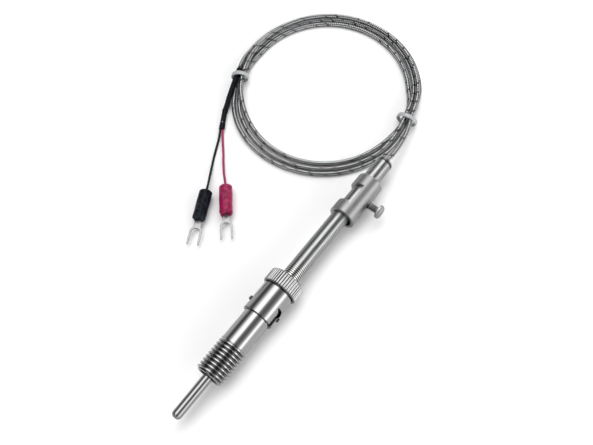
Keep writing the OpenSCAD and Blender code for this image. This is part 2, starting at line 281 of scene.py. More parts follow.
def clear_nylon(name):
    """Milky plastic, a little see-through at its edges."""
    mat = Shader(name, (0.44, 0.46, 0.47), 0.3)
    cloud = mat.noise((0.8, 0.8, 0.8), 3.0)
    mat.color_from(mat.ramp(cloud, [(0.3, (0.36, 0.38, 0.39)), (0.7, (0.5, 0.52, 0.53))]))
    mat.bump(cloud, 0.04)
    mat.put("Transmission Weight", 0.25)
    mat.put("Subsurface Weight", 0.25)
    mat.put("Subsurface Radius", (0.002, 0.002, 0.002))
    mat.put("Subsurface Scale", 0.6)
    mat.put("IOR", 1.53)
    return mat.material


def tinned(name):
    """Bright tin with the soft mottling of a dipped stamping."""
    mat = Shader(name, grey(0.5), 0.4, 1.0)
    mottle = mat.noise((1.4, 1.4, 1.4), 4.0)
    fine = mat.noise((9, 9, 9), 2.0)
    mat.color_from(mat.ramp(mottle, [(0.3, grey(0.23, 0.01)), (0.7, grey(0.36))]))
    mat.rough_from(mat.spread(fine, 0.34, 0.5))
    mat.bump(mottle, 0.015)
    return mat.material


def pale_floor(name):
    mat = Shader(name, grey(0.85), 0.7)
    mat.put("Specular IOR Level", 0.1)
    return mat.material


ROUND_MARKS = (3, 3, 3)
# In these steels ends sets the painted dark reflection on faces along Y, and low the floor of the
# painted shade in hollows.
STEEL = steel("polished_steel", 0.29, 0.07, turn=(0.4, 0.75), ends=0.93)
THREAD_STEEL = steel("adapter_steel", 0.29, 0.08, ends=0.1, low=0.4)
PROBE_STEEL = steel("probe_steel", 0.24, 0.13)
# A negative ends paints the clamp's end faces lighter, a painted highlight on its rims.
TUBE_STEEL = steel("clamp_steel", 0.25, 0.4, (7, 0.6, 7), grain=0.002, ends=-0.15)
END_STEEL = steel("end_steel", 0.17, 0.16)
DARK_STEEL = steel("screw_steel", 0.26, 0.14, ROUND_MARKS, ends=0.2, low=0.03)
PIN_STEEL = steel("pin_steel", 0.07, 0.2, ROUND_MARKS, ends=0.0)
# The spring's low keeps only the crests bright; the rest of each turn gets painted shade.
SPRING = steel("spring_steel", 0.95, 0.18, (6, 6, 6), grain=0.002, ends=0.0, low=0.01)
KNURL = steel("knurled_steel", 0.44, 0.16, ROUND_MARKS, grain=0.003, low=0.03, turn=(0.4, 0.8))
BRASS = steel("turned_brass", 0.5, 0.2, ends=0.2, tint=(0.66, 0.46, 0.18))
BRAID = woven_metal("steel_braid")
TIN = tinned("tinned_copper")
NYLON = clear_nylon("pale_nylon")
BLACK_COVER = spun_cover("black_insulation", (0.001, 0.001, 0.001), (0.003, 0.004, 0.005),
                         (0.03, 0.04, 0.042), 0.6)
RED_COVER = spun_cover("red_insulation", (0.03, 0.002, 0.012), (0.2, 0.012, 0.06),
                       (0.5, 0.09, 0.2), 0.55)
SHRINK = soft_plastic("black_shrink", (0.001, 0.0015, 0.0025), (0.002, 0.003, 0.005),
                      (0.005, 0.008, 0.012), 0.32, gloss=0.08)
# Its crease colour is a painted highlight along creases; at the torn end it is wear.
BLACK_VINYL = soft_plastic("black_vinyl", (0.001, 0.0015, 0.003), (0.002, 0.003, 0.006),
                           (0.006, 0.009, 0.014), 0.32, crease_lighting_and_wear=(0.05, 0.065, 0.085), gloss=0.08)
# Its crease colour is painted shade in creases and dents; at the torn end it is wear.
RED_VINYL = soft_plastic("red_vinyl", (0.12, 0.002, 0.03), (0.25, 0.005, 0.055),
                         (0.34, 0.02, 0.1), 0.32, crease_lighting_and_wear=(0.07, 0.002, 0.018))
CERAMIC = soft_plastic("ceramic", (0.72, 0.70, 0.64), (0.80, 0.78, 0.72), (0.86, 0.85, 0.80), 0.55)
RESIN = soft_plastic("resin", (0.01, 0.01, 0.01), (0.02, 0.02, 0.022), (0.04, 0.04, 0.045), 0.5)


# ---------------------------------------------------------------- mesh helpers
def make(name, verts, faces, material, body, nodes, sharp=35.0):
    """A piece from millimetre points, with smooth faces and its sharp edges kept."""
    mesh = bpy.data.meshes.new(name)
    mesh.from_pydata((np.asarray(verts, dtype=float) * MM).tolist(), [], faces)
    bm = bmesh.new()
    bm.from_mesh(mesh)
    bmesh.ops.recalc_face_normals(bm, faces=bm.faces)
    bm.to_mesh(mesh)
    bm.free()
    mesh.shade_smooth()
    mesh.set_sharp_from_angle(angle=math.radians(sharp))
    mesh.materials.append(material)
    obj = bpy.data.objects.new(name, mesh)
    scene.collection.objects.link(obj)
    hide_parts(*nodes)
    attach(obj, body)
    return obj


def grid_faces(rows, cols, closed=True, offset=0):
    """Quads over rows of points; each row is a ring when closed."""
    last = cols if closed else cols - 1
    return [(offset + i * cols + k, offset + i * cols + (k + 1) % cols,
             offset + (i + 1) * cols + (k + 1) % cols, offset + (i + 1) * cols + k)
            for i in range(rows - 1) for k in range(last)]


def closing_faces(rows, cols):
    """Quads from the last ring back to the first, which make a closed ring section."""
    last = (rows - 1) * cols
    return [(last + k, last + (k + 1) % cols, (k + 1) % cols, k) for k in range(cols)]


def end_faces(cols, total, offset=0):
    """A face over the first ring and one over the ring that ends at total points."""
    return [tuple(offset + k for k in range(cols)), tuple(total - 1 - k for k in range(cols))]


def around_y(radius, y, angle):
    return np.stack([radius * np.cos(angle), y, radius * np.sin(angle)], axis=-1)


def revolved(profile, loop=False):
    """Points of [radius, y] turned about Y. A loop is a closed ring section."""
    sides, least_r = 96, 1e-4
    angle = np.arange(sides) / sides * TAU
    rows = [around_y(np.full(sides, max(r, least_r)), np.full(sides, float(y)), angle)
            for r, y in profile]
    ends = closing_faces(len(rows), sides) if loop else end_faces(sides, len(rows) * sides)
    return np.concatenate(rows), grid_faces(len(rows), sides) + ends


def arc(cx, cy, radius, start, end, steps):
    """Points on an arc from one direction to another, in degrees."""
    turns = [math.radians(start + (end - start) * i / steps) for i in range(steps + 1)]
    return [(cx + radius * math.cos(t), cy + radius * math.sin(t)) for t in turns]


def resample(points, step):
    """Points at an even spacing along a fine polyline."""
    points = np.asarray(points, dtype=float)
    along = np.concatenate([[0], np.cumsum(np.linalg.norm(np.diff(points, axis=0), axis=1))])
    count = max(int(round(along[-1] / step)), 2)
    places = np.linspace(0, along[-1], count + 1)
    return np.stack([np.interp(places, along, points[:, i]) for i in range(3)], axis=1), places


def smooth_route(points, per_span=24):
    """A Catmull-Rom curve through points, with so many steps to a span."""
    pts = [Vector(p) for p in points]
    pts = [2 * pts[0] - pts[1]] + pts + [2 * pts[-1] - pts[-2]]
    out = []
    for a, b, c, d in zip(pts, pts[1:], pts[2:], pts[3:]):
        for i in range(per_span):
            t = i / per_span
            out.append(0.5 * ((2 * b) + (c - a) * t + (2 * a - 5 * b + 4 * c - d) * t * t
                              + (3 * b - a - 3 * c + d) * t ** 3))
    out.append(pts[-2])
    return np.array([tuple(p) for p in out])


def frames_along(points):
    """Sideways and upward directions at each point of a path that is never upright."""
    ahead = np.gradient(points, axis=0)
    ahead /= np.linalg.norm(ahead, axis=1)[:, None]
    side = np.cross(ahead, (0.0, 0.0, 1.0))
    side /= np.linalg.norm(side, axis=1)[:, None]
    return side, np.cross(side, ahead)


def hose(points, radii):
    """A closed tube along points; radii has a row for each point and a column for each side."""
    side, up = frames_along(points)
    count = radii.shape[1]
    angle = np.arange(count) / count * TAU
    cos, sin = np.cos(angle)[None, :, None], np.sin(angle)[None, :, None]
    ring = side[:, None, :] * cos + up[:, None, :] * sin
    verts = (points[:, None, :] + ring * radii[:, :, None]).reshape(-1, 3)
    return verts, grid_faces(len(points), count) + end_faces(count, len(verts))


def paint(obj, name, values):
    layer = obj.data.attributes.new(name, "FLOAT", "POINT")
    layer.data.foreach_set("value", np.asarray(values, dtype=np.float32).ravel())


def keep_uv(obj, name, pairs):
    """A UV map from one pair of numbers per vertex."""
    layer = obj.data.uv_layers.new(name=name)
    index = np.empty(len(obj.data.loops), dtype=np.int32)
    obj.data.loops.foreach_get("vertex_index", index)
    layer.data.foreach_set("uv", np.asarray(pairs, dtype=np.float32)[index].ravel())


# ---------------------------------------------------------------- the cable
CABLE_D = 2.6
COIL_X, COIL_Y, COIL_R = -57.0, 167.0, 52.6
OVAL, OVAL_DEG = 2.6, 109.0
TIE_RIGHT, TIE_LEFT = 10.7, 207.9
LEAD_ROUTE = [(0, 140.5, 0), (0.4, 146, -0.2), (0.2, 152, -0.8), (-0.6, 158, -1.6), (-1.8, 164, -2.4),
              (-3, 168, -3), (-3.8, 170.5, -3.6)]
TAIL_FROM, TAIL_TO, BOOT_TO = (-103.6, 144.6, -3.9), (-92.6, 118.6, -7.6), (-86.2, 108.5, -7.7)
# Each turn's place in the bundle: degrees round the coil, outward shift, height over the floor.
TURNS = [
    (10.7, 1.4, 5.3), (26, 1.7, 5.0), (45, 1.8, 3.7), (70, 1.75, 3.25), (109, 1.75, 3.25),
    (150, 1.5, 3.25), (180, 0.0, 3.9), (196, -1.0, 5.0), (207.9, -1.4, 5.3), (222, -1.9, 4.9),
    (236, -2.7, 3.0), (252, -3.3, 1.4), (289, -3.3, 1.3), (345, -3.0, 1.3), (360, -2.0, 1.9),
    (370.7, -1.4, 2.63), (384, -2.0, 2.0), (400, -3.2, 1.3), (469, -3.5, 1.3), (540, -3.2, 1.3),
    (556, -2.0, 1.9), (567.9, -1.4, 2.63), (582, -0.8, 1.7), (600, 0.0, 1.3), (649, 0.0, 1.3),
    (698, 0.0, 1.3), (711, -0.4, 3.0), (721, -1.0, 4.7), (730.7, -1.4, 5.3), (742, -1.1, 4.6),
    (756, -0.3, 2.4), (770, 0.0, 1.3), (829, 0.0, 1.3), (894, 0.0, 1.3), (906, 0.5, 2.0),
    (917, 1.1, 2.5), (927.9, 1.4, 2.63), (938, 1.8, 1.8), (948, 2.5, 1.3), (962, 3.1, 1.3),
    (975, 3.3, 1.3), (1009, 3.3, 1.3), (1062, 3.1, 1.3), (1079, 2.1, 1.9), (1090.7, 1.4, 2.63),
    (1104, 2.2, 1.9), (1118, 3.3, 1.3), (1189, 3.5, 1.3), (1262, 3.2, 1.3), (1276, 2.0, 4.4),
    (1287.9, 1.4, 5.3)]
# The tail's way down to the floor: share of its length, height over the floor.
TAIL_DROP = ((0.12, 5.2), (0.35, 4.6), (0.6, 3.6), (0.85, 2.2), (1.0, 1.5))
IN_BOOT = 0.7  # the share of the boot that the cable reaches into


def monotone(xs, ys, x):
    """A cubic through points that never swings past them."""
    xs, ys = np.asarray(xs, float), np.asarray(ys, float)
    h, d = np.diff(xs), np.diff(ys) / np.diff(xs)
    slope = np.zeros(len(xs))
    same = d[:-1] * d[1:] > 0
    w1, w2 = 2 * h[1:] + h[:-1], h[1:] + 2 * h[:-1]
    with np.errstate(divide="ignore", invalid="ignore"):
        mean = (w1 + w2) / (w1 / d[:-1] + w2 / d[1:])
    slope[1:-1] = np.where(same, mean, 0.0)
    i = np.clip(np.searchsorted(xs, x) - 1, 0, len(h) - 1)
    t = (x - xs[i]) / h[i]
    return ((2 * t ** 3 - 3 * t ** 2 + 1) * ys[i] + (t ** 3 - 2 * t ** 2 + t) * h[i] * slope[i]
            + (3 * t ** 2 - 2 * t ** 3) * ys[i + 1] + (t ** 3 - t ** 2) * h[i] * slope[i + 1])


def coil_point(deg, out, height):
    """A place on the oval coil, with its outward shift and its height over the floor."""
    reach = COIL_R + OVAL * np.cos(np.radians(2 * (deg - OVAL_DEG))) + out
    return np.stack([COIL_X + reach * np.cos(np.radians(deg)), COIL_Y + reach * np.sin(np.radians(deg)),
                     FLOOR_Z + height], axis=-1)


def cable_route():
    """The lead off the stem, the turns and the straight end in its sleeve."""
    knots = np.array(TURNS)
    deg = np.arange(knots[0, 0], knots[-1, 0], 1.5)
    out = monotone(knots[:, 0], knots[:, 1], deg)
    height = monotone(knots[:, 0], knots[:, 2], deg)
    loose = 0.16 * np.sin(np.radians(deg * 2.3)) * np.clip((3.2 - height) / 2, 0, 1)
    turns = coil_point(deg, out + loose, height)
    tail = []
    for t, high in TAIL_DROP:
        x, y, _ = np.array(TAIL_FROM) + (np.array(TAIL_TO) - TAIL_FROM) * t
        tail.append((x, y, FLOOR_Z + high))
    tail.append(np.array(TAIL_TO) + (np.array(BOOT_TO) - TAIL_TO) * IN_BOOT)
    points = [(0, 139.2, 0)] + LEAD_ROUTE + [tuple(p) for p in turns[2:]] + [tuple(p) for p in tail]
    return smooth_route(points, 10)


def braid_height(a, b, ribbons):
    """A plain weave of two sets of ribbons: its height, 0 in holes, the set on top, and tracers."""
    width = 0.88
    crown_a, crown_b = (np.sqrt(np.clip(1 - (2 * np.abs(v - np.floor(v) - 0.5) / width) ** 2, 0, 1))
                        for v in (a, b))
    sign_a, sign_b = (1 - 2 * (np.floor(v) % 2) for v in (a, b))
    rise_a = 0.5 + 0.5 * np.cos(math.pi * (b - 0.5)) * sign_a
    rise_b = 0.5 - 0.5 * np.cos(math.pi * (a - 0.5)) * sign_b
    height_a, height_b = crown_a * (0.4 + 0.6 * rise_a), crown_b * (0.4 + 0.6 * rise_b)
    over = height_a > height_b
    tracer = np.where(over, np.floor(a) % ribbons == 0, np.floor(b) % ribbons == 3)
    return np.maximum(height_a, height_b), over.astype(float), tracer


def make_cable():
    """One braided cable from the stem to the boot, woven in relief, with broken dark tracers."""
    points, along = resample(cable_route(), 0.2)
    sides, ribbons, depth, pitch = 36, 6, 0.2, 1.2
    above_zero = 4000
    turn = np.arange(sides) / sides * ribbons
    a = turn[None, :] + along[:, None] / pitch
    b = turn[None, :] - along[:, None] / pitch + above_zero
    weave, over, tracer = braid_height(a, b, ribbons)
    patchy = np.sin(along * 0.83) + np.sin(along * 0.31 + 1.0) + np.sin(along * 1.9 + 2.0)
    tracer = tracer & (patchy[:, None] > -0.4)
    verts, faces = hose(points, CABLE_D / 2 - depth * (1 - weave))
    cable = make("braided_cable", verts, faces, BRAID, "sensor",
                 ("cable_lead", "cable_coil", "cable_tail"), 80)
    # The weave height, for the braid's painted shade in its holes, times the darker tone of the tracer
    # wires.
    paint(cable, "weave", weave * np.where(tracer, 0.32, 1.0))
    # The set on top, for the painted reflection that makes the other set darker.
    paint(cable, "over", over)
    keep_uv(cable, "braid", np.stack([a.ravel(), b.ravel()], axis=1))
    return cable, points, along[-1]


def make_tie(name, node, deg, wide):
    """A rolled plastic ring round the bundle: lower than it is broad, and loose by the factor wide."""
    ring_r, half_wall, half_width, outer_r, flat = 4.7, 0.5, 1.3, 5.2, 0.76
    centre = coil_point(deg, 0.0, 3.95)
    heading = math.radians(deg)
    section = [(ring_r + half_wall * math.copysign(abs(math.cos(t)) ** 0.7, math.cos(t)),
                half_width * math.copysign(abs(math.sin(t)) ** 0.6, math.sin(t)))
               for t in np.arange(20) / 20 * TAU]
    sides = 72
    verts = []
    for r, w in section:
        for t in np.arange(sides) / sides * TAU:
            reach = min(r * (1 + 0.012 * math.sin(3 * t + 1.1)), outer_r)
            out, high = wide * reach * math.cos(t), flat * reach * math.sin(t)
            verts.append((centre[0] + out * math.cos(heading) - w * math.sin(heading),
                          centre[1] + out * math.sin(heading) + w * math.cos(heading),
                          centre[2] + high))
    faces = grid_faces(len(section), sides) + closing_faces(len(section), sides)
    return make(name, verts, faces, NYLON, "sensor", (node,), 60)


def last_stretch(points, from_end, to_end, step):
    """The cable's path between two distances from its end."""
    back = np.concatenate([[0], np.cumsum(np.linalg.norm(np.diff(points[::-1], axis=0), axis=1))])
    places = np.arange(from_end, to_end, -step)
    path = np.stack([np.interp(places, back, points[::-1, i]) for i in range(3)], axis=1)
    return path, from_end - places


def make_shrink(cable_path, in_boot):
    """The tube shrunk over the cable's end, belled where it starts, wrinkled along its length."""
    length, into_boot = 30.0, 0.4
    path, along = last_stretch(cable_path, in_boot + length, in_boot - into_boot, 0.35)
    sides = 40
    angle = np.arange(sides) / sides * TAU
    s, t = along[:, None], angle[None, :]
    radii = 1.5 + 0.1 * np.exp(-s / 1.2)
    radii = radii + 0.03 * np.sin(3 * t + s * 0.35) + 0.02 * np.sin(5 * t - s * 0.9)
    radii = radii + 0.1 * np.exp(-((s - along[-1] + 1.0) / 1.2) ** 2)
    radii[0] -= 0.12
    radii[-1] -= 0.15
    verts, faces = hose(path, radii)
    verts[:, 2] = np.maximum(verts[:, 2], FLOOR_Z)
    return make("shrink_tube", verts, faces, SHRINK, "sensor", ("shrink_sleeve",), 50)


def make_boot():
    """The second, tighter tube, flattened where the two conductors part."""
    start, end = Vector(TAIL_TO), Vector(BOOT_TO)
    route = [start + (end - start) * share for share in (-0.06, 0.4, 0.8)] + [end]
    points, along = resample(smooth_route(route), 0.3)
    sides = 40
    angle = np.arange(sides) / sides * TAU
    s, t = (along / along[-1])[:, None], angle[None, :]
    wide = 1.38 + 0.02 * s + 0.22 * s * np.abs(np.cos(t)) - 0.2 * s * np.abs(np.sin(t))
    radii = wide + 0.03 * np.sin(4 * t + 9 * s) + 0.025 * np.sin(2 * t - 14 * s)
    radii[0] -= 0.1
    radii[-1] -= 0.12
    verts, faces = hose(points, radii)
    verts[:, 2] = np.maximum(verts[:, 2], FLOOR_Z)
    return make("conductor_boot", verts, faces, SHRINK, "sensor", ("breakout_boot",), 50)


# The terminals' upper ends and headings; the conductors run a little way into them.
BLACK_AT, BLACK_DEG = (-65.5, 72.3, -5.6), -62.0
RED_AT, RED_DEG = (-59.6, 81.05, -5.6), -49.0
BLACK_ROUTE = [(-86.6, 108, -7.5), (-85, 105.3, -8), (-83.3, 102.4, -8.35), (-81.7, 99.4, -8.42),
               (-80.1, 96.4, -8.42), (-78.5, 93.4, -8.42), (-76.8, 90.4, -8.4), (-75, 87.5, -8.2),
               (-73.2, 84.6, -7.8), (-71.2, 81.5, -7.1), (-69.1, 78.4, -6.4), (-67.2, 75.4, -5.9),
               BLACK_AT, (-64.1, 69.65, -5.6)]
RED_ROUTE = [(-85.5, 108.7, -7.5), (-83.6, 106.3, -8), (-81.5, 103.9, -8.35), (-79.3, 101.5, -8.42),
             (-77.1, 99.1, -8.42), (-74.9, 96.7, -8.42), (-72.8, 94.2, -8.4), (-70.6, 91.8, -8.2),
             (-68.4, 89.4, -7.8), (-66.2, 87.1, -7.2), (-63.85, 85, -6.3), (-61.7, 83, -5.75),
             RED_AT, (-57.6, 78.8, -5.6)]
LEAD_D = 1.3


def make_conductor(name, node, route, material, depth, lay):
    """A conductor under a spiral cover: low ribs that wind round it."""
    points, along = resample(smooth_route(route), 0.12)
    sides = 24
    phase = 2 * np.arange(sides)[None, :] / sides + along[:, None] / lay
    rib = np.abs(np.cos(math.pi * phase)) ** 0.6
    verts, faces = hose(points, LEAD_D / 2 - depth * (1 - rib))
    lead = make(name, verts, faces, material, "sensor", (node,), 70)
    # The rib height, for the cover's painted shade in its grooves and painted light on its crowns.
    paint(lead, "weave", rib)
    return lead, points, along[-1]


cable, cable_points, cable_length = make_cable()
ties = [make_tie("ring_tie_right", "tie_right", TIE_RIGHT - 2.0, 1.16),
        make_tie("ring_tie_left", "tie_left", TIE_LEFT + 1.2, 1.0)]
boot_length = (Vector(BOOT_TO) - Vector(TAIL_TO)).length
shrink, boot = make_shrink(cable_points, boot_length * IN_BOOT), make_boot()
black_lead, black_points, black_length = make_conductor(
    "black_conductor", "black_lead", BLACK_ROUTE, BLACK_COVER, 0.1, 1.5)
red_lead, red_points, red_length = make_conductor(
    "red_conductor", "red_lead", RED_ROUTE, RED_COVER, 0.05, 1.1)


# ---------------------------------------------------------------- terminals
TERM_R, TERM_LEN = 3.5, 17.0


def at_terminal(points, at, deg):
    """Terminal coordinates, with X along the terminal, in the part's frame."""
    points = np.asarray(points, dtype=float)
    c, s = math.cos(math.radians(deg)), math.sin(math.radians(deg))
    return np.stack([at[0] + points[:, 0] * c - points[:, 1] * s,
                     at[1] + points[:, 0] * s + points[:, 1] * c, at[2] + points[:, 2]], axis=1)


def bell(x, centre, width):
    """A bump that is 1 at its centre."""
    return np.exp(-((x - centre) / width) ** 2)


def step(x, edge, soft):
    """A soft rise from 0 to 1 at an edge."""
    return 0.5 + 0.5 * np.tanh((x - edge) / soft)


def make_sleeve(name, node, at, deg, material, dents, ragged, corner):
    """A thick vinyl sleeve: crimp dents pressed in from above, creases, and a torn lower edge.

    A dent is (kind, place along, place across, size, depth); its kind is "round" for the mark
    of a crimping tool's punch, or the slope in degrees of a long pinch.
    """
    rows, sides, skin, frill_len, tuck_in = 96, 96, 0.05, 1.6, 0.75
    x = np.linspace(0.0, TERM_LEN, rows)[:, None]
    t = (np.arange(sides) / sides * TAU)[None, :]
    across = TERM_R * np.cos(t)
    top = np.clip(np.sin(t), 0, 1) ** 0.4
    plain = TERM_R - skin + 0.04 * np.sin(2 * t + 0.4 * x) + 0.03 * np.sin(5 * t - 0.8 * x)
    r = plain
    for kind, dx, dy, size, deep in dents:
        if kind == "round":
            bow = size * np.sqrt(np.clip(1 - ((x - dx) / size) ** 2, 0, 1))
            inside = step(x, dx - size, 0.18) * step(-x, -dx - size, 0.18)
            inside = inside * step(across, dy - 0.55 * size, 0.12)
            r = r - deep * top * inside * step(-across, -dy - 0.55 * bow, 0.16)
        else:
            slope = math.tan(math.radians(kind))
            pinch = bell(across - dy - slope * (x - dx), 0, 0.22) * bell(x, dx, size)
            r = r - deep * top * pinch
    fold = np.hypot(*np.gradient(plain - r))
    worn = np.clip((x - TERM_LEN + 3.2) / 3, 0, 1)
    worn = worn * (0.5 + 0.5 * np.sin(9 * t + 2.1 * x) * np.sin(4 * t - 3 * x))
    # The painted crease light's strength varies along the sleeve.
    crease_strength = 0.55 + 0.45 * np.sin(1.7 * x + 2.0 * t) * np.sin(0.9 * x - 3.0 * t)
    # Painted light along the dents' creases (a painted highlight on the black vinyl, painted shade on
    # the red), and wear at the torn end.
    crease_lighting_and_wear = np.maximum(np.clip(fold / 0.11 - 0.2, 0, 0.75) * crease_strength, 0.7 * worn)
    torn = ragged[0] * np.sin(3 * t + ragged[1]) + ragged[2] * np.sin(7 * t + ragged[3])
    r = r - corner * np.clip(1 - x / (1.4 * corner), 0, 1) ** 2
    frill = np.clip((x - TERM_LEN + frill_len) / frill_len, 0, 1)
    r = np.minimum(r + frill * 0.16 * np.sin(5 * t + ragged[3]), TERM_R) - tuck_in * frill ** 2
    x = x + frill * torn
    outer = np.stack([x + 0 * t, r * np.cos(t), r * np.sin(t)], axis=-1)
    folded = [outer[-1] * (1, part, part) + (tuck, 0, 0)
              for part, tuck in ((0.82, 0.08), (0.66, -0.15), (0.5, -0.5))]
    verts = np.concatenate([outer.reshape(-1, 3)] + folded)
    faces = grid_faces(rows + len(folded), sides) + end_faces(sides, len(verts))
    sleeve = make(name, at_terminal(verts, at, deg), faces, material, "sensor", (node,), 50)
    paint(sleeve, "crease_lighting_and_wear", np.concatenate([crease_lighting_and_wear.ravel(), np.tile(crease_lighting_and_wear[-1], len(folded))]))
    return sleeve


def fork_outline():
    """Half of a fork's outline, from the neck to the inside of the slot."""
    slot_r, shoulder_r = 2.15, 3.2
    web_x = TERM_LEN + 4.2 + slot_r
    tip = TERM_LEN + 13.6
    half = [(TERM_LEN - 2.5, 1.5), (TERM_LEN + 0.5, 1.55), (TERM_LEN + 1.6, 1.9)]
    half += [(web_x + shoulder_r * math.cos(a), shoulder_r * math.sin(a))
             for a in np.radians(np.linspace(142, 90, 9))]
    half += [(web_x + 3.0, 3.2), (tip - 0.45, 3.17), (tip - 0.1, 3.0), (tip, 2.75),
             (tip - 0.1, 2.45), (tip - 0.4, 2.3), (web_x + 3.0, 2.2)]
    half += [(web_x + slot_r * math.cos(a), slot_r * math.sin(a))
             for a in np.radians(np.linspace(90, 180, 14))]
    return half


def make_fork(name, node, at, deg):
    """A stamped and tinned fork with rounded edges."""
    top, bottom, rounding = -0.5, -1.3, 0.2
    half = fork_outline()
    outline = half + [(x, -y) for x, y in reversed(half[:-1])]
    bm = bmesh.new()
    face = bm.faces.new([bm.verts.new((x, y, top)) for x, y in outline])
    made = bmesh.ops.extrude_face_region(bm, geom=[face])
    for v in made["geom"]:
        if isinstance(v, bmesh.types.BMVert):
            v.co.z = bottom
    bmesh.ops.recalc_face_normals(bm, faces=bm.faces)
    rim = [e for e in bm.edges if e.verts[0].co.z == e.verts[1].co.z]
    bmesh.ops.bevel(bm, geom=rim, offset=rounding, segments=3, profile=0.6, affect="EDGES")
    bmesh.ops.triangulate(bm, faces=[f for f in bm.faces if len(f.verts) > 4])
    bm.verts.index_update()
    verts = [tuple(v.co) for v in bm.verts]
    faces = [tuple(v.index for v in f.verts) for f in bm.faces]
    bm.free()
    return make(name, at_terminal(verts, at, deg), faces, TIN, "sensor", (node,), 40)


black_term = make_sleeve("black_terminal_sleeve", "black_sleeve", BLACK_AT, BLACK_DEG,
                         BLACK_VINYL,
                         [(28, 4.4, 1.3, 1.5, 0.3), (52, 8.0, 0.9, 1.7, 0.4),
                          (-18, 9.6, -1.5, 2.2, 0.3), (64, 12.4, -0.6, 1.4, 0.35)],
                         (0.35, 0.6, 0.12, 0.3), 0.45)
red_term = make_sleeve("red_terminal_sleeve", "red_sleeve", RED_AT, RED_DEG,
                       RED_VINYL,
                       [("round", 7.2, 0.2, 2.4, 0.45), (24, 11.9, 1.1, 1.3, 0.25)],
                       (0.4, 2.2, 0.2, 1.0), 0.8)
black_tine = make_fork("black_fork_terminal", "black_fork", BLACK_AT, BLACK_DEG)
red_tine = make_fork("red_fork_terminal", "red_fork", RED_AT, RED_DEG)


# ---------------------------------------------------------------- probe and adapter
def make_probe():
    r, tip_y, dome_r = 2.4, -21.6, 1.95
    profile = [(0.0, tip_y), (0.35, -21.58)] + arc(r - dome_r, tip_y + dome_r, dome_r, -80, 0, 12)
    profile += [(r, -10), (r, 0), (r, 12), (r, 22.5), (2.6, 22.8), (2.6, 30), (2.0, 30),
                (2.0, 29.5), (0.0, 29.4)]
    verts, faces = revolved(profile)
    make("probe_tube", verts, faces, PROBE_STEEL, "sensor", ("probe_sheath",))


BARREL_END, PIN_Y = 41.4, 39.1


def make_adapter():
    """A true helical thread that fades into the barrel, chamfers, and the bore right through."""
    pitch, crest_r, root_r, barrel_r, bore = 1.8, 7.0, 5.93, 6.6, 5.1
    thread_end, runout_from = 17.2, 15.7
    crest_half, root_half = 0.22, 0.95
    sides = 144
    angle = np.arange(sides) / sides * TAU
    y = np.concatenate([np.arange(0, 17.6, 0.09), np.linspace(17.7, 41.0, 30),
                        [41.15, 41.3, BARREL_END]])
    yy, tt = y[:, None], angle[None, :]
    phase = np.abs(((yy - 0.27) / pitch + tt / TAU + 0.5) % 1.0 - 0.5) * 2
    flank = np.clip((root_half - phase) / (root_half - crest_half), 0, 1)
    flank = flank * flank * (3 - 2 * flank)
    runout = np.clip((yy - runout_from) / 1.5, 0, 1)
    thread = np.maximum(root_r + (crest_r - root_r) * flank, root_r + (barrel_r - root_r) * runout)
    on_barrel = yy > thread_end
    r = np.minimum(np.where(on_barrel, barrel_r, thread), 5.95 + np.clip(yy, 0, 2) * 1.1)
    r = np.where(on_barrel, np.minimum(r, barrel_r - np.clip((yy - 41.15) * 1.6, 0, 0.4)), r)
    shell = np.stack([r * np.cos(tt), yy + 0 * tt, r * np.sin(tt)], axis=-1).reshape(-1, 3)
    inner = [around_y(np.full(sides, radius), np.full(sides, float(place)), angle)
             for radius, place in [(bore + 0.1, BARREL_END), (bore, 41.2), (bore, 30), (bore, 15),
                                   (bore, 0.35), (bore + 0.35, 0.0)]]
    rows = len(y) + len(inner)
    adapter = make("threaded_adapter", np.concatenate([shell] + inner),
                   grid_faces(rows, sides) + closing_faces(rows, sides), THREAD_STEEL, "adapter",
                   ("adapter",), 28)
    # Painted shade in the thread's roots and, at 0.6, inside the bore.
    deep = np.where(on_barrel, 0.0, np.clip((6.25 - r) / 0.3, 0, 1))
    paint(adapter, "painted_shade", np.concatenate([deep.ravel(), np.full(len(inner) * sides, 0.6)]))


def make_pins():
    """Two studs with domed ends, pressed through the barrel."""
    rows = [(5.2, 0.9), (5.2, 1.05), (5.25, 1.1), (8.3, 1.1), (8.5, 1.04), (8.65, 0.85), (8.7, 0.5),
            (8.7, 0.2)]
    sides = 32
    verts, faces = [], []
    for deg in (-17.5, 162.5):
        base = len(verts)
        axis = np.array([math.cos(math.radians(deg)), 0, math.sin(math.radians(deg))])
        side = np.array([-axis[2], 0, axis[0]])
        for reach, r in rows:
            for t in np.arange(sides) / sides * TAU:
                p = axis * reach + side * r * math.cos(t) + np.array([0, PIN_Y + r * math.sin(t), 0])
                verts.append(tuple(p))
        faces += grid_faces(len(rows), sides, True, base) + end_faces(sides, len(verts), base)
    make("bayonet_studs", verts, faces, PIN_STEEL, "adapter", ("bayonet_pins",))


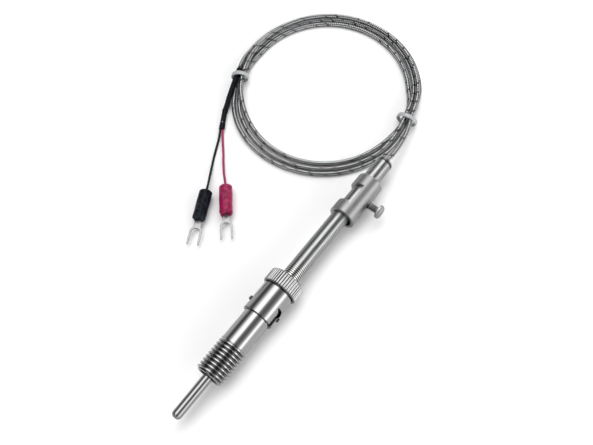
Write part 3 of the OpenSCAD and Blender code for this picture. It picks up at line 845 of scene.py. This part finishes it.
# ---------------------------------------------------------------- cap
def make_collar():
    """Straight ridges with rounded flutes that run out in both chamfers."""
    teeth, per_tooth, crest_r, flute = 42, 10, 9.1, 0.45
    y0, y1, bore, seat_r, skirt_r = 49.7, 57.2, 5.2, 6.0, 7.3
    sides = teeth * per_tooth
    angle = np.arange(sides) / sides * TAU
    wave = np.abs(((angle * teeth / TAU) % 1.0) - 0.5) * 2
    groove = wave ** 2.2
    # deep is painted shade: in the flutes, and at 0.6 over the inner faces.
    rows, deep = [], []
    for y, r in [(y0, 8.25), (y0 + 0.15, 8.5), (y0 + 0.45, 8.85), (y0 + 0.7, 9.04),
                 (y0 + 0.95, crest_r), (53.5, crest_r), (y1 - 1.0, crest_r), (y1 - 0.7, 9.03),
                 (y1 - 0.4, 8.8), (y1 - 0.12, 8.45), (y1, 8.2)]:
        rows.append(around_y(np.minimum(r, crest_r - flute * groove), np.full(sides, float(y)), angle))
        deep.append(np.clip((wave - 0.62) / 0.3, 0, 1))
    for y, r in [(y1, bore + 0.3), (y1 - 0.25, bore), (56.3, bore), (56.2, seat_r), (51.0, seat_r),
                 (51.0, skirt_r), (y0, skirt_r)]:
        rows.append(around_y(np.full(sides, r), np.full(sides, float(y)), angle))
        deep.append(np.full(sides, 0.6))
    faces = grid_faces(len(rows), sides) + closing_faces(len(rows), sides)
    collar = make("grip_collar", np.concatenate(rows), faces, KNURL, "cap", ("knurled_collar",),
                  30)
    paint(collar, "painted_shade", np.concatenate(deep))


# ---------------------------------------------------------------- armour
def helix(mean_r, y0, y1, turns, wire_r, per_turn, around):
    """A wire wound about Y, with so many steps to a turn and so many sides around it."""
    steps = round(turns * per_turn)
    t = np.arange(steps + 1) / per_turn * TAU
    y = y0 + (y1 - y0) * np.arange(steps + 1) / steps
    centre = np.stack([mean_r * np.cos(t), y, mean_r * np.sin(t)], axis=1)
    out = np.stack([np.cos(t), 0 * t, np.sin(t)], axis=1)
    angle = np.arange(around) / around * TAU
    ring = out[:, None, :] * np.cos(angle)[None, :, None]
    ring = ring + np.array([0, 1.0, 0]) * np.sin(angle)[None, :, None]
    verts = (centre[:, None, :] + wire_r * ring).reshape(-1, 3)
    return verts, grid_faces(steps + 1, around) + end_faces(around, len(verts))


def make_armour():
    """The close-wound armour, with painted shade over each turn but its very crest."""
    around = 16
    verts, faces = helix(4.01, 34.5, 138.5, 104, 0.49, 48, around)
    armour = make("armour_coils", verts, faces, SPRING, "sensor", ("armour_spring",), 60)
    outward = np.cos(np.arange(around) / around * TAU)
    # Painted shade on every side of the wire that does not face straight out.
    paint(armour, "painted_shade", np.tile(np.clip((0.998 - outward) / 0.1, 0, 1), len(verts) // around))


def make_lock_spring():
    """The bayonet's spring, built at one length; the real one shortens towards the back of the cap as
    the adapter is pushed in.
    """
    verts, faces = helix(5.75, 43.3, 47.9, 3.5, 0.45, 48, 12)
    spring = make("lock_coils", verts, faces, DARK_STEEL, "cap", ("lock_spring",), 60)
    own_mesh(spring)


def make_rear_ferrule():
    profile = [(1.3, 131.0), (3.44, 131.0), (3.44, 138.9), (4.4, 138.9)]
    profile += arc(3.3, 139.4, 1.1, 0, 82, 9) + [(2.1, 140.5), (1.6, 140.42), (1.35, 140.1)]
    verts, faces = revolved(profile, loop=True)
    make("end_ferrule", verts, faces, END_STEEL, "sensor", ("rear_ferrule",))


def make_screw():
    """A threaded shank and a slotted head with rounded shoulders."""
    screw_y, head_x, pitch, shank_r, thread_depth = 113.6, 13.0, 1.2, 1.95, 0.42
    slot_deg, slot_from, slot_half = 15, 14.4, 0.55
    sides = 96
    turn = np.arange(sides) / sides * TAU
    out = np.concatenate([[5.75, 5.9], np.arange(6.05, 12.6, 0.06), [12.7, 12.99]])
    wave = np.abs((out[:, None] / pitch + turn[None, :] / TAU) % 1.0 - 0.5) * 2
    r = shank_r - thread_depth * np.clip((wave - 0.2) / 0.6, 0, 1)
    r[0], r[1], r[-1], r[-2] = 1.6, 1.75, 1.6, 1.6
    # Painted shade in the thread's roots.
    deep = np.clip((1.9 - r) / 0.2, 0, 1)
    head = [(head_x, 3.3), (13.06, 3.5), (13.2, 3.6), (14.2, 3.6), (14.5, 3.52), (14.85, 3.3),
            (15.15, 2.95), (15.36, 2.5), (15.46, 1.8), (15.5, 0.9), (15.5, 0.01)]
    rows = [np.stack([np.full(sides, x), screw_y + ring * np.cos(turn), ring * np.sin(turn)], axis=-1)
            for x, ring in [*zip(out, r), *head]]
    faces = grid_faces(len(rows), sides) + end_faces(sides, len(rows) * sides)
    screw = make("slotted_screw", np.concatenate(rows), faces, DARK_STEEL, "screw", ("clamp_screw",),
                 32)
    paint(screw, "painted_shade", np.concatenate([deep.ravel(), np.zeros(len(head) * sides)]))
    along = np.array([0, math.cos(math.radians(slot_deg)), math.sin(math.radians(slot_deg))])
    across = np.array([0, -along[2], along[1]])
    corners = [np.array([x, screw_y, 0]) + along * a + across * b for x in (slot_from, 17)
               for a in (-5, 5) for b in (-slot_half, slot_half)]
    box = [(0, 1, 3, 2), (4, 6, 7, 5), (0, 4, 5, 1), (2, 3, 7, 6), (0, 2, 6, 4), (1, 5, 7, 3)]
    carve(screw, corners, box)


def carve(obj, verts, faces):
    """Cuts a closed shape out of a piece for good."""
    mesh = bpy.data.meshes.new("cutter")
    mesh.from_pydata((np.asarray(verts) * MM).tolist(), [], faces)
    cutter = bpy.data.objects.new("cutter", mesh)
    scene.collection.objects.link(cutter)
    modifier = obj.modifiers.new("slot", "BOOLEAN")
    modifier.operation = "DIFFERENCE"
    modifier.solver = "EXACT"
    modifier.object = cutter
    depsgraph = bpy.context.evaluated_depsgraph_get()
    shaped = bpy.data.meshes.new_from_object(obj.evaluated_get(depsgraph))
    obj.modifiers.clear()
    obj.data = shaped
    shaped.set_sharp_from_angle(angle=math.radians(32))
    bpy.data.objects.remove(cutter)
    bpy.data.meshes.remove(mesh)


make_probe()
make_screw()
make_adapter()
make_pins()
make_collar()
make_armour()
make_lock_spring()
make_rear_ferrule()


# ---------------------------------------------------------------- CAD pieces that stay
KEPT = {"insulator": CERAMIC, "positive_wire": DARK_STEEL, "negative_wire": DARK_STEEL,
        "hot_junction": DARK_STEEL, "sheath_seal": RESIN, "front_ferrule": STEEL,
        "inner_cable": SHRINK, "guide_bush": BRASS, "bayonet_sleeve": STEEL,
        "thrust_ring": DARK_STEEL, "clamp_body": TUBE_STEEL, "clamp_pad": BRASS}
for node, material in KEPT.items():
    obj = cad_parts[node]
    obj.data.materials.clear()
    obj.data.materials.append(material)


# ---------------------------------------------------------------- studio
def make_floor():
    half, cells, under = 6000.0, 8, 0.02
    line = np.linspace(-half, half, cells + 1)
    verts = [(x - 40, y + 100, FLOOR_Z - under) for y in line for x in line]
    faces = grid_faces(cells + 1, cells + 1, False)
    mesh = bpy.data.meshes.new("floor")
    mesh.from_pydata([tuple(c * MM for c in v) for v in verts], [], faces)
    mesh.materials.append(pale_floor("floor"))
    floor = bpy.data.objects.new("floor", mesh)
    scene.collection.objects.link(floor)


# The soft boxes: degrees over the +X side and brightness, then place along Y and share of it.
BOXES = [(0, 0.36), (9, 0.5), (17, 1.0), (28, 1.0), (36, 0.42), (47, 0.16), (60, 0.08), (72, 0.09),
         (83, 0.2), (92, 0.9), (98, 1.0), (113, 1.0), (120, 0.75), (131, 0.28), (143, 0.07),
         (156, 0.03), (168, 0.16), (180, 0.25)]
BOX_ENDS = [(-0.6, 0.5), (-0.15, 1.0), (0.78, 1.0), (0.95, 0.5)]


def make_world():
    """Long soft boxes over the bench, with their length along Y and dark gaps between them."""
    world = bpy.data.worlds.new("studio")
    scene.world = world
    world.use_nodes = True
    tree = world.node_tree
    background = tree.nodes["Background"]
    split = add_node(tree, "ShaderNodeSeparateXYZ")
    tree.links.new(add_node(tree, "ShaderNodeTexCoord").outputs["Generated"], split.inputs[0])
    angle = add_node(tree, "ShaderNodeMath", operation="ARCTAN2")
    tree.links.new(split.outputs[2], angle.inputs[0])
    tree.links.new(split.outputs[0], angle.inputs[1])
    part = add_node(tree, "ShaderNodeMath", operation="DIVIDE")
    part.inputs[1].default_value = math.pi
    tree.links.new(angle.outputs[0], part.inputs[0])
    along = add_node(tree, "ShaderNodeMapRange")
    along.inputs["From Min"].default_value = -1.0
    tree.links.new(split.outputs[1], along.inputs["Value"])
    over = add_ramp(tree, part.outputs[0], [(deg / 180, grey(level)) for deg, level in BOXES])
    ends = add_ramp(tree, along.outputs["Result"],
                    [(0.5 + 0.5 * side, grey(level)) for side, level in BOX_ENDS])
    both = add_node(tree, "ShaderNodeMath", operation="MULTIPLY")
    tree.links.new(over, both.inputs[0])
    tree.links.new(ends, both.inputs[1])
    tree.links.new(both.outputs[0], background.inputs["Color"])
    background.inputs["Strength"].default_value = 3.5


make_floor()
make_world()
scene.view_settings.view_transform = "Standard"
